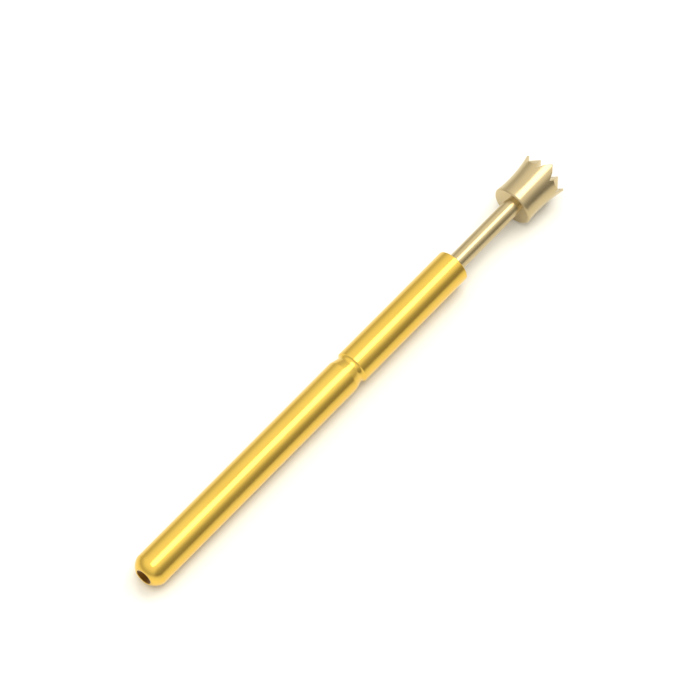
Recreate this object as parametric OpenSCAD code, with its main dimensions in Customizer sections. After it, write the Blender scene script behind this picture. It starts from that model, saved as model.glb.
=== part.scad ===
// Spring test probe (pogo pin) with a nine-point crown head.
// The pin lies along X with its crown at +X. The origin is on the axis, at the mouth of the barrel.

/* [Barrel] */
// Outer diameter of the barrel
barrel_d = 2.02; // [1.9:0.01:2.4]
// Length of the barrel from its swaged end to its mouth
barrel_l = 25.4; // [24:0.1:40]
// Wall of the drawn tube
barrel_wall = 0.2; // [0.15:0.01:0.24]
// Thickness of the closed end between the spring and the dish
end_wall = 0.2; // [0.15:0.01:0.4]
// Rounding of the mouth's outer edge
mouth_round = 0.05; // [0.02:0.01:0.08]

/* [Swaged end] */
// Length of the domed end, measured along the pin
swage_l = 0.6; // [0.45:0.01:0.8]
// Diameter of the flat lip where the dome ends
lip_d = 1.14; // [1.05:0.01:1.3]
// Radius of the dome's outline
swage_round = 0.9; // [0.8:0.01:1.3]
// Diameter of the dish inside the lip
dish_d = 0.98; // [0.8:0.01:1.02]
// Depth of the dish
dish_depth = 0.25; // [0.1:0.01:0.35]
// Diameter of the vent hole at the bottom of the dish
vent_d = 0.36; // [0.2:0.01:0.5]

/* [Crimp] */
// Depth of the rolled groove
crimp_depth = 0.13; // [0.1:0.01:0.16]
// Radius of the rolling wheel's edge
crimp_round = 0.25; // [0.2:0.01:0.35]
// Length of the slope that the rolling leaves behind the groove
crimp_slope = 0.3; // [0.1:0.01:0.5]

/* [Plunger] */
// Diameter of the bare shaft between barrel and head
shaft_d = 1.02; // [0.7:0.01:1.2]
// Length of bare shaft that shows when the pin is at rest
shaft_l = 5; // [3:0.05:6]
// Gap between head and mouth when the plunger is pressed right in
head_gap = 0.1; // [0.05:0.05:1]
// Clearance around the two lands that slide in the barrel
slide_gap = 0.02; // [0.01:0.005:0.04]
// How deep inside the mouth the front land begins
land_setback = 0.5; // [0.3:0.05:0.6]
// Length of the front land, which guides the plunger
front_land_l = 2.85; // [2:0.05:4]
// Gap between the front land and the crimp when the plunger is pressed right in
stroke_gap = 0.15; // [0.05:0.05:0.5]
// Length of the tail land, which the crimp holds back
tail_land_l = 2; // [1.5:0.05:3]
// Clearance between the neck and the crimp's inner bead
neck_gap = 0.04; // [0.03:0.01:0.1]
// Free play between the tail land and the bead
stop_play = 0.03; // [0.02:0.01:0.1]
// Length of the pilot that centres the spring
pilot_l = 0.8; // [0.5:0.05:1.2]
// Chamfer on the edges of the lands
land_chamfer = 0.08; // [0.04:0.01:0.12]

/* [Head] */
// Diameter of the head at its rear rim
head_d = 2.5; // [2.3:0.01:3]
// Length of the head from its rear face to the points
head_l = 2.95; // [2.5:0.05:4]
// How much the head narrows at its waist, on the radius
waist_depth = 0.06; // [0.04:0.01:0.12]
// Distance from the rear face to the waist
waist_at = 1; // [0.8:0.05:1.2]
// Chamfer of the rear rim
rim_chamfer = 0.08; // [0.04:0.01:0.15]
// How far the head flares beyond its rear rim at the points, on the radius
flare = 0.16; // [0.05:0.01:0.2]

/* [Crown] */
// How far the corner points lie inside the rim of the crown
corner_inset = 0.11; // [0.02:0.01:0.2]
// Included angle of the milled grooves
groove_angle = 60; // [50:1:75]
// Width of the small flat left on each point
point_flat = 0.03; // [0.02:0.01:0.1]
// Turn of the crown about the pin, from a corner point facing up
crown_turn = 18.5; // [0:0.5:90]

/* [Spring] */
// Diameter of the spring wire
wire_d = 0.22; // [0.16:0.01:0.24]
// Clearance between the spring and the inside of the barrel
coil_gap = 0.06; // [0.03:0.01:0.1]
// Pitch of the working turns, before it is evened out over the spring's length
pitch_aim = 0.54; // [0.48:0.01:0.8]
// Closed turns at each end
closed_turns = 2; // [1:1:3]
// Gap between the closed turns
closed_gap = 0.02; // [0.01:0.01:0.05]
// Gap between the spring and the faces that it presses on
seat_gap = 0.02; // [0.01:0.01:0.05]
// Clearance between the pilot and the inside of the spring
pilot_gap = 0.08; // [0.05:0.01:0.15]
// How far the bead at a change of pitch stands over the wire
join_bead = 0.004; // [0.002:0.001:0.008]

/* [Hidden] */
$fn = 96;

// barrel
barrel_r = barrel_d / 2;
bore_r = barrel_r - barrel_wall;
rear_x = -barrel_l;
// Centre of the arc that runs from the barrel's outside to the lip
dome_run = [barrel_r - lip_d / 2, swage_l];
dome_chord = norm(dome_run);
dome_reach = sqrt(swage_round * swage_round - dome_chord * dome_chord / 4);
dome_c = [(barrel_r + lip_d / 2) / 2 - dome_reach * swage_l / dome_chord,
          rear_x + swage_l / 2 + dome_reach * dome_run[0] / dome_chord];
room_round = swage_round - barrel_wall;
room_dome_x = dome_c[1] - sqrt(max(0, pow(room_round, 2) - pow(bore_r - dome_c[0], 2)));
floor_x = rear_x + dish_depth + end_wall;

// plunger: the crimp lies one stroke behind the front land, and the tail land just behind the crimp
travel = shaft_l - head_gap;
shaft_r = shaft_d / 2;
land_r = bore_r - slide_gap;
front_land_x = -land_setback - front_land_l;
crimp_c_r = barrel_r + crimp_round - crimp_depth;
bead_round = crimp_round + barrel_wall;
bead_reach = sqrt(pow(bead_round, 2) - pow(crimp_c_r - land_r, 2));
crimp_x = front_land_x - travel - stroke_gap - bead_reach;
crimp_c = [crimp_c_r, crimp_x];
neck_r = crimp_c_r - bead_round - neck_gap;
tail_front_x = crimp_x - bead_reach - stop_play;
tail_rear_x = tail_front_x - tail_land_l;

// head: the flank is one arc through the rear rim, the waist and the rim of the crown
head_x = shaft_l;
tip_x = head_x + head_l;
head_r = head_d / 2;
waist_r = head_r - waist_depth;
flank_round = arc_round(waist_depth, waist_at);
crown_r = head_r + flare;
front_round = arc_round(crown_r - waist_r, head_l - waist_at);

// crown: four V grooves each way leave three points by three
point_pitch = (crown_r - corner_inset) / sqrt(2);
groove_w = point_pitch - point_flat;
groove_depth = groove_w / 2 / tan(groove_angle / 2);

// spring
wire_r = wire_d / 2;
coil_r = bore_r - coil_gap - wire_r;
spring_rear_x = floor_x + seat_gap + wire_r;
spring_front_x = tail_rear_x - seat_gap - wire_r;
closed_pitch = wire_d + closed_gap;
closed_l = closed_turns * closed_pitch;
working_l = spring_front_x - spring_rear_x - 2 * closed_l;
working_turns = round(working_l / pitch_aim);
// A whole number of steps, so that each turn begins exactly where the last one ends
pitch_step = 0.004;
working_pitch = pitch_step * floor(working_l / working_turns / pitch_step);
working_from = spring_rear_x + closed_l;
working_to = working_from + working_turns * working_pitch;
pilot_r = coil_r - wire_r - pilot_gap;

// cutters reach this far past what they cut
over = 1;

// Radius of an arc that starts along the pin and rises so much over so long a run.
function arc_round(rise, run) = (rise * rise + run * run) / (2 * rise);

// Turns an outline, drawn as [radius, x], about the pin's axis.
module turned() {
    rotate([0, 90, 0]) rotate_extrude() children();
}

// A rectangle from one [radius, x] corner to the opposite one.
module block(from, to) {
    translate(from) square(to - from);
}

// A straight stretch of round bar with both edges chamfered.
module bar(r, from_x, to_x, chamfer) {
    polygon([[0, from_x], [r - chamfer, from_x], [r, from_x + chamfer],
             [r, to_x - chamfer], [r - chamfer, to_x], [0, to_x]]);
}

// The barrel's outside before the crimp is rolled in.
module barrel_outline() {
    block([0, rear_x + swage_l], [barrel_r, -mouth_round]);
    block([0, -2 * mouth_round], [barrel_r - mouth_round, 0]);
    translate([barrel_r - mouth_round, -mouth_round]) circle(mouth_round);
    intersection() {
        translate(dome_c) circle(swage_round);
        block([0, rear_x], [barrel_r, rear_x + swage_l + mouth_round]);
    }
}

// The room inside the barrel, which follows the dome down to a flat floor.
module barrel_room() {
    block([0, room_dome_x], [bore_r, over]);
    intersection() {
        translate(dome_c) circle(room_round);
        block([0, floor_x], [bore_r, room_dome_x + mouth_round]);
    }
}

// The rolled groove: the wheel's round edge and the slope behind it.
module crimp_groove() {
    translate(crimp_c) circle(crimp_round);
    polygon([[barrel_r - crimp_depth, crimp_x],
             [barrel_r, crimp_x - crimp_round - crimp_slope],
             [barrel_r + crimp_depth, crimp_x - crimp_round - crimp_slope],
             [barrel_r + crimp_depth, crimp_x]]);
}

// The dished end and its vent.
module dish() {
    polygon([[0, rear_x - over], [dish_d / 2, rear_x - over], [dish_d / 2, rear_x],
             [vent_d / 2, rear_x + dish_depth], [vent_d / 2, floor_x + over],
             [0, floor_x + over]]);
}

module barrel() {
    color("gold") turned() {
        difference() {
            barrel_outline();
            difference() {
                barrel_room();
                translate(crimp_c) circle(bead_round);
            }
            crimp_groove();
            dish();
        }
    }
}

// The head's outline, hollow-flanked between the rear rim and the crown.
module head_outline() {
    difference() {
        polygon([[0, head_x], [head_r - rim_chamfer, head_x], [head_r, head_x + rim_chamfer],
                 [crown_r, head_x + waist_at], [crown_r, tip_x], [0, tip_x]]);
        intersection() {
            translate([waist_r + flank_round, head_x + waist_at]) circle(flank_round, $fn = 360);
            block([waist_r, head_x - over], [crown_r + over, head_x + waist_at]);
        }
        intersection() {
            translate([waist_r + front_round, head_x + waist_at]) circle(front_round, $fn = 720);
            block([waist_r, head_x + waist_at], [crown_r + over, tip_x + over]);
        }
    }
}

// One V groove, milled across the crown along Z at a distance from its middle.
module crown_groove(at) {
    half_top = (groove_depth + over) * tan(groove_angle / 2);
    rotate([180, 0, 90])
        linear_extrude(2 * (crown_r + over), center = true)
            polygon([[at, tip_x - groove_depth], [at + half_top, tip_x + over],
                     [at - half_top, tip_x + over]]);
}

// The grooves of both directions.
module crown_grooves() {
    for (across = [0, 90], i = [-1.5:1.5])
        rotate([across, 0, 0]) crown_groove(i * point_pitch);
}

module plunger() {
    color("silver") {
        difference() {
            turned() head_outline();
            rotate([45 + crown_turn, 0, 0]) crown_grooves();
        }
        turned() {
            block([0, front_land_x], [shaft_r, head_x + rim_chamfer]);
            bar(land_r, front_land_x, -land_setback, land_chamfer);
            block([0, tail_front_x - land_chamfer], [neck_r, front_land_x + land_chamfer]);
            bar(land_r, tail_rear_x, tail_front_x, land_chamfer);
            bar(pilot_r, tail_rear_x - pilot_l, tail_rear_x + pilot_l, land_chamfer);
        }
    }
}

// Half a turn of wire, tilted so that it climbs half a pitch. side is 1 above the axis and -1 below it.
module half_turn(from_x, pitch, side) {
    tilt = atan(pitch / 4 / coil_r);
    translate([from_x + pitch / 4, 0, 0])
        rotate([side * 90, 0, side * (90 + tilt)])
            rotate_extrude(angle = 180)
                translate([norm([coil_r, pitch / 4]), 0]) circle(wire_r, $fn = 24);
}

// A run of whole turns along the pin.
module turns(from_x, count, pitch) {
    for (i = [0:count - 1]) {
        half_turn(from_x + i * pitch, pitch, 1);
        half_turn(from_x + (i + 0.5) * pitch, pitch, -1);
    }
}

// The wire bends sharper where closed and working turns meet, and a bead just over its size rounds the bend.
module spring() {
    color("lightsteelblue") {
        turns(spring_rear_x, closed_turns, closed_pitch);
        turns(working_from, working_turns, working_pitch);
        turns(working_to, closed_turns, closed_pitch);
        for (x = [working_from, working_to])
            translate([x, coil_r, 0]) sphere(wire_r + join_bead, $fn = 24);
    }
}

barrel();
plunger();
spring();
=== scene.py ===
# %% [markdown]
# # A spring test probe
# A spring test probe, or pogo pin, is a contact that gives way. A plunger slides in a thin brass tube, the barrel,
# and a coil spring inside pushes it back out. This one has a plain gold-plated barrel and a nickel-plated plunger
# whose head is milled into nine points, so that it bites through dirt on a lead or a solder joint.
#
# The pin is only 33 mm long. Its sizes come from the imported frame, and every piece is first modelled with one
# Blender unit as one millimetre, because many of Blender's mesh tools give up on details below a micrometre.
# Each finished piece is then scaled down to metres.

import math

import bpy
from mathutils import Matrix, Vector


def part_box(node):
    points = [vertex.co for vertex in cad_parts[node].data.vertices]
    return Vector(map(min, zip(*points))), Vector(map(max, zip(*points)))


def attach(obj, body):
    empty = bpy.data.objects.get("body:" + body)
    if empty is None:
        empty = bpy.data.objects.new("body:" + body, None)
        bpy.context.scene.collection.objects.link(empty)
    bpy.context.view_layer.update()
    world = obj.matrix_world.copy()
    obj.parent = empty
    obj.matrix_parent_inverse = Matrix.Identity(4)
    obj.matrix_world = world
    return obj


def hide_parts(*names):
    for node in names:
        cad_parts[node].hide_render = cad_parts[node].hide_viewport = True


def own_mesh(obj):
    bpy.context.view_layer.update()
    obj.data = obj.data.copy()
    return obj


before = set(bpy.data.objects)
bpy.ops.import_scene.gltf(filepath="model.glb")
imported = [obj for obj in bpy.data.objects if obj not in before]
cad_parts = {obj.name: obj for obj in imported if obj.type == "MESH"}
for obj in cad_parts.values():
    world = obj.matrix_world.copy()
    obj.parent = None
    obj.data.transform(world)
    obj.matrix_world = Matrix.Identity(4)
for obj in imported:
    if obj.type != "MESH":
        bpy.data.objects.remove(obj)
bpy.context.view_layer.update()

# %% Sizes from the frame, in millimetres
MM = 1000


def node_span(node):
    """Lowest and highest corner of a node, in millimetres."""
    low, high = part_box(node)
    return low * MM, high * MM


barrel_low, barrel_high = node_span("barrel")
plunger_low, plunger_high = node_span("plunger")
spring_low, spring_high = node_span("spring")

BARREL_REAR = barrel_low.x
MOUTH = barrel_high.x
BARREL_R = 1.01
TIP = plunger_high.x
TAIL = plunger_low.x

# %% [markdown]
# ## Turning on Blender's lathe
# Barrel and plunger are both round, so both start as an outline that is spun about the pin's axis. The outline
# could be a curve with a Screw modifier, or a stack of cylinders joined by booleans. Extruding one vertex along the
# outline and spinning it is closest to what a lathe does, and it leaves long clean faces that catch the light well.

# %% Selection and finishing helpers
LATHE_STEPS = 160
SHARP_ANGLE = math.radians(24)


def deselect():
    """Leave edit mode and select nothing, since the loaded nodes come in selected."""
    if bpy.context.object and bpy.context.object.mode == "EDIT":
        bpy.ops.object.mode_set(mode="OBJECT")
    bpy.ops.object.select_all(action="DESELECT")


def pick(obj):
    """Make one object the active one and the only one that is selected."""
    deselect()
    bpy.context.view_layer.objects.active = obj
    obj.select_set(True)


def edit_all(obj):
    """Open one object alone in edit mode with all of it selected."""
    pick(obj)
    bpy.ops.object.mode_set(mode="EDIT")
    bpy.ops.mesh.select_all(action="SELECT")


def arc(centre, radius, start, stop, steps):
    """Points (x, r) on an arc, with angles in degrees from the +x direction towards +r."""
    points = []
    for i in range(steps + 1):
        a = math.radians(start + (stop - start) * i / steps)
        points.append((centre[0] + radius * math.cos(a), centre[1] + radius * math.sin(a)))
    return points


def lathe(name, outline, closed):
    """Extrude one vertex along the outline, a list of (x, r), and spin it about the X axis."""
    deselect()
    bpy.ops.mesh.primitive_plane_add(size=1, location=(0, 0, 0))
    piece = bpy.context.object
    piece.name = name
    edit_all(piece)
    bpy.ops.mesh.merge(type="CENTER")
    x, r = outline[0]
    bpy.ops.transform.translate(value=(x, 0, r))
    for nx, nr in outline[1:]:
        bpy.ops.mesh.extrude_region_move(TRANSFORM_OT_translate={"value": (nx - x, 0, nr - r)})
        x, r = nx, nr
    if closed:
        bpy.ops.mesh.select_all(action="SELECT")
        bpy.ops.mesh.remove_doubles(threshold=1e-5)
    bpy.ops.mesh.select_all(action="SELECT")
    bpy.ops.mesh.spin(steps=LATHE_STEPS, angle=2 * math.pi, center=(0, 0, 0), axis=(1, 0, 0))
    bpy.ops.mesh.select_all(action="SELECT")
    bpy.ops.mesh.remove_doubles(threshold=1e-5)
    bpy.ops.mesh.normals_make_consistent(inside=False)
    bpy.ops.object.mode_set(mode="OBJECT")
    print(f"{name}: {len(outline)} outline points, {len(piece.data.polygons)} faces")
    return piece


def modifier(obj, kind, **settings):
    """Add one modifier with its settings and apply it."""
    pick(obj)
    bpy.ops.object.modifier_add(type=kind)
    added = obj.modifiers[-1]
    for name, value in settings.items():
        setattr(added, name, value)
    bpy.ops.object.modifier_apply(modifier=added.name)


def soften(obj, width, segments, angle):
    """Round every edge that is sharper than the angle, as polishing and plating do."""
    modifier(obj, "BEVEL", limit_method="ANGLE", angle_limit=math.radians(angle), width=width,
             segments=segments, use_clamp_overlap=True, miter_outer="MITER_ARC")


def to_metres(obj, sharp_angle=SHARP_ANGLE):
    """Bring a finished piece from millimetres to metres, with its place kept in its mesh."""
    pick(obj)
    bpy.ops.object.transform_apply(location=True, rotation=True, scale=True)
    bpy.ops.object.shade_smooth_by_angle(angle=sharp_angle)
    obj.scale = (1 / MM, 1 / MM, 1 / MM)
    bpy.ops.object.transform_apply(location=True, rotation=True, scale=True)
    deselect()


# %% [markdown]
# ## The barrel
# The real barrel is a drawn tube with a wall of 0.2 mm. Its rear end is swaged: pressed inwards in a die until only
# a small dished opening is left, and a sharp crease shows where the dome begins. A rolling wheel then closes a
# groove round it. The groove's inner bead is the stop that keeps the plunger in. Because the wall follows the
# groove on the inside, the outline is drawn all the way round, outside and inside, as one closed loop.

# %% Barrel sizes
WALL = 0.2
BORE_R = BARREL_R - WALL
MOUTH_ROUND = 0.05
SWAGE_L = 0.6
LIP_R = 0.57
DISH_R = 0.49
DISH_DEPTH = 0.25
END_WALL = 0.2
VENT_R = 0.18
FLOOR_X = BARREL_REAR + DISH_DEPTH + END_WALL
DOME_R = 0.9
CRIMP_X = MOUTH - 8.695
CRIMP_DEPTH = 0.13
WHEEL_R = 0.25
CRIMP_SLOPE = 0.3
# The angle on the wheel's round at which the groove passes into the slope behind it.
WHEEL_LEAVES = -114
# The dome meets the tube at about 12 degrees, so a smaller angle than that keeps its crease crisp.
CREASE_ANGLE = math.radians(10)


def arc_centre(a, b, radius):
    """Centre of an arc through two points, on the side towards the axis and +x."""
    mid = ((a[0] + b[0]) / 2, (a[1] + b[1]) / 2)
    chord = math.dist(a, b)
    reach = math.sqrt(radius ** 2 - chord ** 2 / 4)
    return mid[0] + reach * (a[1] - b[1]) / chord, mid[1] - reach * (a[0] - b[0]) / chord


def angle_to(centre, point):
    """Angle in degrees from a centre to a point."""
    return math.degrees(math.atan2(point[1] - centre[1], point[0] - centre[0]))


# %% Barrel outline
def barrel_outline():
    """The barrel's section as a closed loop: from the mouth back along the outside, then through the bore."""
    dome_from = (BARREL_REAR + SWAGE_L, BARREL_R)
    dome_to = (BARREL_REAR, LIP_R)
    dome = arc_centre(dome_from, dome_to, DOME_R)
    wheel = (CRIMP_X, BARREL_R + WHEEL_R - CRIMP_DEPTH)
    wheel_angle = math.degrees(math.asin((wheel[1] - BARREL_R) / WHEEL_R))
    room_r = DOME_R - WALL
    floor_r = dome[1] + math.sqrt(room_r ** 2 - (FLOOR_X - dome[0]) ** 2)
    bore_x = dome[0] - math.sqrt(room_r ** 2 - (BORE_R - dome[1]) ** 2)
    bead_r = WHEEL_R + WALL
    bead_angle = math.degrees(math.asin((wheel[1] - BORE_R) / bead_r))
    points = [(MOUTH, BORE_R)]
    points += arc((MOUTH - MOUTH_ROUND, BARREL_R - MOUTH_ROUND), MOUTH_ROUND, 0, 90, steps=12)
    points += arc(wheel, WHEEL_R, -wheel_angle, WHEEL_LEAVES, steps=24)
    points += [(CRIMP_X - WHEEL_R - CRIMP_SLOPE, BARREL_R)]
    points += arc(dome, DOME_R, angle_to(dome, dome_from), angle_to(dome, dome_to), steps=24)
    points += [(BARREL_REAR, DISH_R), (BARREL_REAR + DISH_DEPTH, VENT_R), (FLOOR_X, VENT_R)]
    points += arc(dome, room_r, angle_to(dome, (FLOOR_X, floor_r)), angle_to(dome, (bore_x, BORE_R)), steps=6)
    points += arc(wheel, bead_r, bead_angle - 180, -bead_angle, steps=18)
    return points + [points[0]]


# %% Turn the barrel
barrel = lathe("barrel_tube", barrel_outline(), closed=True)
soften(barrel, width=0.015, segments=4, angle=20)
to_metres(barrel, sharp_angle=CREASE_ANGLE)
print("barrel faces:", len(barrel.data.polygons))

# %% [markdown]
# ## The plunger
# The plunger is turned from one rod: a pilot that centres the spring, two lands that slide in the bore, a thin neck
# that passes the crimp, the bare shaft, and the head. The head has a hollow flank, narrowest about a third of the
# way along and widest at the points.
#
# The crown could be modelled face by face. Milling it is simpler and truer: a three-sided prism has corners of
# exactly 60 degrees, so eight prisms laid across the head, four each way, cut the same V grooves as the cutter does.

# %% Plunger sizes
SHAFT_R = 0.51
SHAFT_L = 5
SLIDE_GAP = 0.02
LAND_R = BORE_R - SLIDE_GAP
NECK_R = 0.64
PILOT_R = 0.45
PILOT_L = 0.8
LAND_CHAMFER = 0.08
LAND_SETBACK = 0.5
FRONT_LAND_L = 2.85
TAIL_LAND_L = 2
FRONT_LAND = (MOUTH - LAND_SETBACK - FRONT_LAND_L, MOUTH - LAND_SETBACK)
TAIL_LAND = (TAIL + PILOT_L, TAIL + PILOT_L + TAIL_LAND_L)
HEAD_REAR = MOUTH + SHAFT_L
RIM_CHAMFER = 0.08
RIM_R = 1.25
WAIST_DEPTH = 0.06
WAIST_R = RIM_R - WAIST_DEPTH
WAIST_X = HEAD_REAR + 1
FLARE = 0.16
CROWN_R = RIM_R + FLARE
CORNER_INSET = 0.11
POINT_PITCH = (CROWN_R - CORNER_INSET) / math.sqrt(2)
POINT_FLAT = 0.03
GROOVE_ANGLE = 60
GROOVE_DEPTH = (POINT_PITCH - POINT_FLAT) / 2 / math.tan(math.radians(GROOVE_ANGLE / 2))
CROWN_TURN = 18.5


def flank_radius(rise, run):
    """Radius of an arc that starts along the pin and rises so much over so long a run."""
    return (rise ** 2 + run ** 2) / (2 * rise)


def flank(rise, run, start, stop, steps):
    """Points on the head's hollow flank, at distances start to stop from its waist."""
    radius = flank_radius(rise, run)
    points = []
    for i in range(steps + 1):
        d = start + (stop - start) * i / steps
        points.append((WAIST_X + d, WAIST_R + radius - math.sqrt(radius ** 2 - d ** 2)))
    return points


# %% Plunger outline
def chamfered(r, start, stop, chamfer):
    """Four outline points of a straight land with both of its edges chamfered."""
    return [(start, r - chamfer), (start + chamfer, r), (stop - chamfer, r), (stop, r - chamfer)]


def plunger_outline():
    """The plunger's section from the middle of its tail to the middle of its crown."""
    points = [(TAIL, 0), (TAIL, PILOT_R - LAND_CHAMFER), (TAIL + LAND_CHAMFER, PILOT_R)]
    points += [(TAIL_LAND[0], PILOT_R)]
    points += chamfered(LAND_R, *TAIL_LAND, LAND_CHAMFER)
    points += [(TAIL_LAND[1], NECK_R), (FRONT_LAND[0], NECK_R)]
    points += chamfered(LAND_R, *FRONT_LAND, LAND_CHAMFER)
    points += [(FRONT_LAND[1], SHAFT_R), (HEAD_REAR, SHAFT_R), (HEAD_REAR, RIM_R - RIM_CHAMFER)]
    points += flank(RIM_R - WAIST_R, WAIST_X - HEAD_REAR, HEAD_REAR + RIM_CHAMFER - WAIST_X, 0, steps=12)
    points += flank(CROWN_R - WAIST_R, TIP - WAIST_X, 0, TIP - WAIST_X, steps=24)[1:]
    return points + [(TIP, 0)]


plunger = lathe("plunger_pin", plunger_outline(), closed=False)

# %% Mill the crown
PRISM_R = 1.5
PRISM_L = 5
GROOVES_EACH_WAY = 4


def mill_groove(turn, offset):
    """Cut one V groove. The prism's sharp edge runs across the head at the groove's bottom."""
    deselect()
    bpy.ops.mesh.primitive_cylinder_add(vertices=3, radius=PRISM_R, depth=PRISM_L)
    prism = bpy.context.object
    place = Matrix.Translation((TIP - GROOVE_DEPTH + PRISM_R, offset, 0))
    point_back = Matrix.Rotation(math.pi / 2, 4, "Z")
    prism.matrix_world = Matrix.Rotation(math.radians(turn), 4, "X") @ place @ point_back
    bpy.context.view_layer.update()
    modifier(plunger, "BOOLEAN", operation="DIFFERENCE", solver="EXACT", object=prism)
    bpy.data.objects.remove(prism)


for across in (0, 90):
    for i in range(GROOVES_EACH_WAY):
        mill_groove(45 + CROWN_TURN + across, (i - (GROOVES_EACH_WAY - 1) / 2) * POINT_PITCH)
edit_all(plunger)
bpy.ops.mesh.remove_doubles(threshold=1e-4)
bpy.ops.mesh.dissolve_limited(angle_limit=math.radians(0.5))
bpy.ops.object.mode_set(mode="OBJECT")
soften(plunger, width=0.035, segments=3, angle=20)
to_metres(plunger)
print("plunger faces:", len(plunger.data.polygons))

# %% [markdown]
# ## The spring
# The spring is round wire wound on a mandrel, with two closed turns at each end so that it stands square on its
# seats. A curve with a bevel would do, but a Screw modifier on a small circle gives the helix directly, with
# its pitch as a plain number. Three runs of turns are joined where their end rings meet.

# %% Wind the spring
WIRE_R = 0.11
COIL_GAP = 0.06
COIL_R = BORE_R - COIL_GAP - WIRE_R
CLOSED_TURNS = 2
CLOSED_PITCH = 0.24
WORKING_TURNS = 24
WIRE_SIDES = 14
TURN_STEPS = 40
closed_l = CLOSED_TURNS * CLOSED_PITCH
coil_from = spring_low.x + WIRE_R
working_l = spring_high.x - spring_low.x - 2 * WIRE_R - 2 * closed_l


def wind(from_x, turns, pitch):
    """One run of turns: a circle of wire, screwed along the pin's axis."""
    deselect()
    bpy.ops.mesh.primitive_circle_add(vertices=WIRE_SIDES, radius=WIRE_R, location=(from_x, COIL_R, 0))
    run = bpy.context.object
    bpy.ops.object.transform_apply(location=True, rotation=True, scale=True)
    modifier(run, "SCREW", axis="X", angle=2 * math.pi, screw_offset=pitch, iterations=turns,
             steps=TURN_STEPS, render_steps=TURN_STEPS)
    return run


runs = [
    wind(coil_from, CLOSED_TURNS, CLOSED_PITCH),
    wind(coil_from + closed_l, WORKING_TURNS, working_l / WORKING_TURNS),
    wind(coil_from + closed_l + working_l, CLOSED_TURNS, CLOSED_PITCH),
]
deselect()
for run in runs:
    run.select_set(True)
bpy.context.view_layer.objects.active = runs[0]
bpy.ops.object.join()
spring = bpy.context.object
spring.name = "coil_spring"
edit_all(spring)
bpy.ops.mesh.remove_doubles(threshold=1e-3)
bpy.ops.mesh.select_all(action="DESELECT")
bpy.ops.mesh.select_non_manifold(extend=False, use_wire=False, use_boundary=True, use_multi_face=False,
                                 use_non_contiguous=False, use_verts=False)
bpy.ops.mesh.fill_holes(sides=0)
bpy.ops.mesh.select_all(action="SELECT")
bpy.ops.mesh.normals_make_consistent(inside=False)
bpy.ops.object.mode_set(mode="OBJECT")
to_metres(spring)
print("spring faces:", len(spring.data.polygons), "turns:", WORKING_TURNS + 2 * CLOSED_TURNS)

# %% [markdown]
# ## Materials
# Every finish here is metal, so colour comes from the base colour and life comes from roughness and bump. Each is a
# principled shader at full metallic with the default IOR. Patterns read Object coordinates, which are metres in the
# pin's own frame, so a mark of so many millimetres is a noise scale of one over its size.

# %% Material helpers
def linear(hex_colour):
    """An sRGB hex colour as a linear RGBA value."""
    parts = [int(hex_colour[i:i + 2], 16) / 255 for i in (1, 3, 5)]
    return [c / 12.92 if c <= 0.04045 else ((c + 0.055) / 1.055) ** 2.4 for c in parts] + [1]


def add(tree, kind, settings=None, **inputs):
    """Add a node. Settings are its properties, and inputs are values or the sockets that feed it."""
    made = tree.nodes.new(kind)
    for name, value in (settings or {}).items():
        setattr(made, name, value)
    for name, value in inputs.items():
        socket = made.inputs[int(name[1:])] if name[0] == "i" and name[1:].isdigit() else made.inputs[name]
        if isinstance(value, bpy.types.NodeSocket):
            tree.links.new(value, socket)
        else:
            socket.default_value = value
    return made


def surface(name, metallic=1.0):
    """A new material, a metal unless told otherwise. Returns the material, its node tree and its shader."""
    made = bpy.data.materials.new(name)
    made.use_nodes = True
    tree = made.node_tree
    tree.nodes.clear()
    shader = add(tree, "ShaderNodeBsdfPrincipled", Metallic=metallic)
    out = add(tree, "ShaderNodeOutputMaterial")
    tree.links.new(shader.outputs["BSDF"], out.inputs["Surface"])
    return made, tree, shader


def marks(tree, along_mm, round_mm, detail):
    """Noise with marks of one size along the pin and another across it, both in millimetres."""
    place = add(tree, "ShaderNodeTexCoord").outputs["Object"]
    scale = (MM / along_mm, MM / round_mm, MM / round_mm)
    sized = add(tree, "ShaderNodeMapping", Vector=place, Scale=scale).outputs["Vector"]
    return add(tree, "ShaderNodeTexNoise", Vector=sized, Scale=1.0, Detail=detail).outputs["Fac"]


def between(tree, fac, low, high):
    """Turn a noise value into a number between two limits."""
    return add(tree, "ShaderNodeMapRange", Value=fac, i1=0.3, i2=0.7, i3=low, i4=high).outputs["Result"]


def tint(tree, fac, first, second):
    """Mix two colours by a noise value."""
    mixed = add(tree, "ShaderNodeMix", {"data_type": "RGBA"}, i0=fac, i6=linear(first), i7=linear(second))
    return mixed.outputs[2]


# %% [markdown]
# Gold plating over drawn brass is bright and even. The die leaves faint lines along the tube that the thin plating
# follows, and handling leaves soft duller patches a few millimetres long.

# %% Gold plating on a drawn tube
gold, tree, shader = surface("gold_plating_on_drawn_brass")
patches = marks(tree, along_mm=4, round_mm=1.2, detail=3)
die_lines = marks(tree, along_mm=9, round_mm=0.07, detail=4)
tree.links.new(tint(tree, patches, "#DDB64F", "#E8C45F"), shader.inputs["Base Color"])
tree.links.new(between(tree, patches, 0.13, 0.22), shader.inputs["Roughness"])
die_bump = add(tree, "ShaderNodeBump", Height=die_lines, Strength=0.25, Distance=0.000004)
tree.links.new(die_bump.outputs["Normal"], shader.inputs["Normal"])

# %% [markdown]
# Nickel plating over a turned rod is paler and a little warm. The turning tool leaves fine rings, closely spaced
# along the pin and running right round it, which spread the highlight lengthwise.

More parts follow.
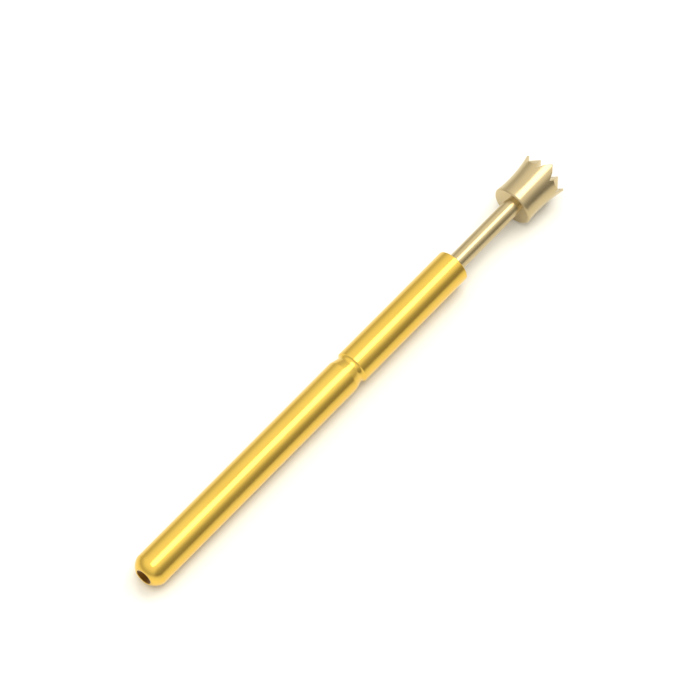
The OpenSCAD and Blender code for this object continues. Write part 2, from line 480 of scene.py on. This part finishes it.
# %% Nickel plating on a turned rod
nickel, tree, shader = surface("nickel_plating_on_turned_steel")
patches = marks(tree, along_mm=1.5, round_mm=1, detail=3)
rings = marks(tree, along_mm=0.05, round_mm=40, detail=2)
tree.links.new(tint(tree, patches, "#BBA981", "#C7B58D"), shader.inputs["Base Color"])
tree.links.new(between(tree, patches, 0.17, 0.26), shader.inputs["Roughness"])
ring_bump = add(tree, "ShaderNodeBump", Height=rings, Strength=0.2, Distance=0.000003)
tree.links.new(ring_bump.outputs["Normal"], shader.inputs["Normal"])

# %% [markdown]
# Spring wire is drawn hard and left bright, so it is greyer and rougher than the plated pieces.

# %% Drawn spring steel
steel, tree, shader = surface("drawn_spring_steel")
drawn = marks(tree, along_mm=0.2, round_mm=0.2, detail=3)
tree.links.new(tint(tree, drawn, "#A9ABAE", "#BCBEC0"), shader.inputs["Base Color"])
tree.links.new(between(tree, drawn, 0.28, 0.4), shader.inputs["Roughness"])

# %% [markdown]
# The small dish at the barrel's rear end is a deep hollow that lies in shade, so its faces are painted dark brown as
# painted shade. It is the same tube, so it stays one piece, and only these faces take another material.

# %% Painted shade in the dish
dish_shade_paint, tree, shader = surface("painted_shade_in_dish")
shade_mottle = marks(tree, along_mm=0.15, round_mm=0.15, detail=3)
# Painted shade: two dark browns, mixed by noise, stand in for the shade inside the dish.
tree.links.new(tint(tree, shade_mottle, "#4A2E0E", "#6B4718"), shader.inputs["Base Color"])
tree.links.new(between(tree, shade_mottle, 0.25, 0.4), shader.inputs["Roughness"])


# The painted shade stops short of the rounded edges at both ends of the dish and vent, so these keep their gold.
LIP_MARGIN = 0.01
FLOOR_MARGIN = 0.02


def in_dish(centre):
    """Whether a face of the finished barrel lies in the dish or in the vent that leads on from it."""
    x = centre.x * MM
    reach = math.hypot(centre.y, centre.z) * MM
    return BARREL_REAR + LIP_MARGIN < x < FLOOR_X - FLOOR_MARGIN and reach < DISH_R


# %% Dress the pieces and hand them to the frame
PIECES = (
    (barrel, gold, "barrel", "gold_plated_barrel"),
    (plunger, nickel, "plunger", "nickel_plated_plunger"),
    (spring, steel, "spring", "spring_steel"),
)
for piece, finish, body, slot in PIECES:
    piece.data.materials.clear()
    piece.data.materials.append(finish)
    for cad_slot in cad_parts[body].material_slots:
        cad_slot.material = finish
    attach(piece, body)
    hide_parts(body)

# The second material holds the painted shade, and the faces in the dish and vent take it.
barrel.data.materials.append(dish_shade_paint)
dish_faces = [face for face in barrel.data.polygons if in_dish(face.center)]
for face in dish_faces:
    face.material_index = 1
print("painted shade faces:", len(dish_faces))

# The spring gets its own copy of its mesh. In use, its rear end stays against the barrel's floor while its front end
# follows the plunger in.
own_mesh(spring)

# %% [markdown]
# ## Table, light and camera
# Polished metal shows its surroundings more than its own colour. The pin lies on a white table that throws light
# back up into its lower side, under one long soft light overhead, in a pale room. The front side of
# the room, at -Y, is dim, and that gives the dark band along the metal. Lights could be tuned one by one by eye, but
# it is quicker to set how bright each surface is: the light at 2.5, the room at 1.25 overhead and 0.72 at the
# horizon, and its front side at half of that.

# %% The table
TABLE_SIZE = 4
TABLE_GAP = 0.00001
POINT_REACH = 0.15
REAR_REST = (BARREL_REAR + SWAGE_L) / MM
FRONT_REST = (TIP - POINT_REACH) / MM
rest_low = min(v.co.z for v in plunger.data.vertices)
lean = math.atan2(rest_low + BARREL_R / MM, FRONT_REST - REAR_REST)
deselect()
bpy.ops.mesh.primitive_plane_add(size=TABLE_SIZE)
table = bpy.context.object
table.name = "table"
table.matrix_world = (Matrix.Translation((REAR_REST, 0, -BARREL_R / MM - TABLE_GAP)) @
                      Matrix.Rotation(-lean, 4, "Y"))
deselect()
board, tree, shader = surface("white_satin_board", metallic=0.0)
shader.inputs["Roughness"].default_value = 0.2
shader.inputs["Specular IOR Level"].default_value = 0.8
grain = marks(tree, along_mm=0.6, round_mm=0.6, detail=3)
tree.links.new(tint(tree, grain, "#EFEEEA", "#F3F2EE"), shader.inputs["Base Color"])
table.data.materials.append(board)
print("table leans", round(math.degrees(lean), 2), "degrees")

# %% The overhead light
def soft_light(name, direction, distance, length, width, brightness, colour):
    """A box light, long along the pin, that faces the pin's middle. Its brightness is that of its own surface."""
    data = bpy.data.lights.new(name, "AREA")
    data.shape = "RECTANGLE"
    data.size = length
    data.size_y = width
    data.energy = brightness * math.pi * length * width
    data.color = linear(colour)[:3]
    made = bpy.data.objects.new(name, data)
    bpy.context.scene.collection.objects.link(made)
    out = Vector(direction).normalized()
    side = Vector((1, 0, 0)) - out * out.x
    side.normalize()
    turn = Matrix((side, out.cross(side), out)).transposed()
    middle = Vector(((BARREL_REAR + TIP) / 2 / MM, 0, 0))
    made.matrix_world = Matrix.Translation(middle + out * distance) @ turn.to_4x4()
    return made


soft_light("overhead_box", (0.3, -0.1, 0.95), 0.6, length=1.1, width=0.3, brightness=2.5, colour="#FFFDF4")

# %% The room
ROOM_TOP = 1.25
ROOM_HORIZON = 0.72
DIM_SHARE = 0.5
world = bpy.data.worlds.new("studio")
world.use_nodes = True
tree = world.node_tree
direction = add(tree, "ShaderNodeTexCoord").outputs["Generated"]


def room_ramp(axis, low, high, first, last):
    """A smooth change of brightness with how far a direction points along an axis."""
    along = add(tree, "ShaderNodeVectorMath", {"operation": "DOT_PRODUCT"}, i0=direction, i1=axis)
    return add(tree, "ShaderNodeMapRange", {"interpolation_type": "SMOOTHSTEP"}, Value=along.outputs["Value"],
               i1=low, i2=high, i3=first, i4=last).outputs["Result"]


height = room_ramp((0, 0, 1), 0.15, 0.8, ROOM_HORIZON, ROOM_TOP)
front_side = room_ramp((0, -1, 0), 0.5, 0.85, 1, DIM_SHARE)
strength = add(tree, "ShaderNodeMath", {"operation": "MULTIPLY"}, i0=height, i1=front_side)
background = tree.nodes["Background"]
background.inputs["Color"].default_value = linear("#FFFCF4")
tree.links.new(strength.outputs["Value"], background.inputs["Strength"])
bpy.context.scene.world = world

# %% Camera
CAMERA_AZIMUTH = -49.27
CAMERA_ELEVATION = 59.84
CAMERA_DISTANCE = 0.3
CAMERA_LENS = 284.6
CAMERA_TARGET = Vector((-0.00772, 0.0008, 0))
azimuth = math.radians(CAMERA_AZIMUTH)
elevation = math.radians(CAMERA_ELEVATION)
back = Vector((math.sin(azimuth) * math.cos(elevation), -math.cos(azimuth) * math.cos(elevation),
               math.sin(elevation)))
camera_data = bpy.data.cameras.new("camera")
camera_data.lens = CAMERA_LENS
camera_data.clip_start = 0.01
camera = bpy.data.objects.new("camera", camera_data)
camera.location = CAMERA_TARGET + back * CAMERA_DISTANCE
camera.rotation_euler = (-back).to_track_quat("-Z", "Y").to_euler()
bpy.context.scene.collection.objects.link(camera)
bpy.context.scene.camera = camera
bpy.context.scene.view_settings.view_transform = "Standard"
